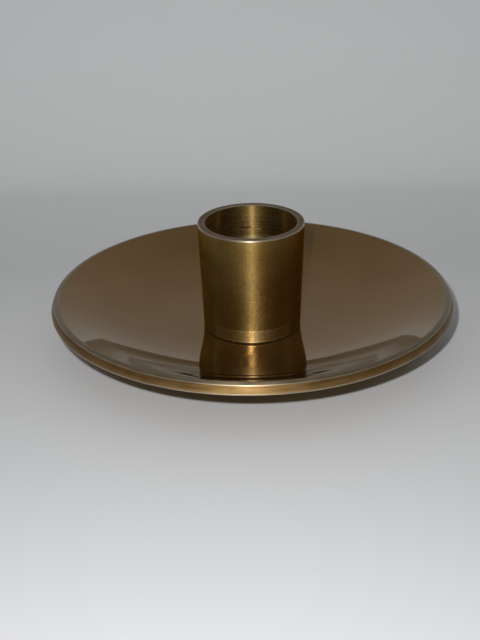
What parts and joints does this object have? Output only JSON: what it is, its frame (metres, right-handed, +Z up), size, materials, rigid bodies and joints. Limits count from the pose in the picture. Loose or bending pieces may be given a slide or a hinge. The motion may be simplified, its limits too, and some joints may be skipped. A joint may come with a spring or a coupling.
{
  "type": "candle holder",
  "caption": "Low candle holder: a tapered turned brass cup with a bore for a dinner candle, screwed to the centre of a shallow round brass drip dish with a felt pad below.",
  "frame": {"origin": "where the holder's axis meets the table, at the middle of the felt pad's lower face", "axes": "+Z up along the axis of the dish and the candle cup; the holder is round, so +X and +Y are any two level directions"},
  "size_m": [0.0998, 0.0998, 0.0322],
  "materials": {
    "polished_brass": "polished and lacquered, brown with age",
    "turned_brass": "satin with fine turning lines round the axis",
    "screw_steel": "plain machined steel",
    "pad_felt": "dense wool felt, glued"
  },
  "bodies": {
    "root": {"dish": "polished_brass", "candle_cup": "turned_brass", "fixing_screw": "screw_steel", "felt_pad": "pad_felt"}
  },
  "joints": []
}
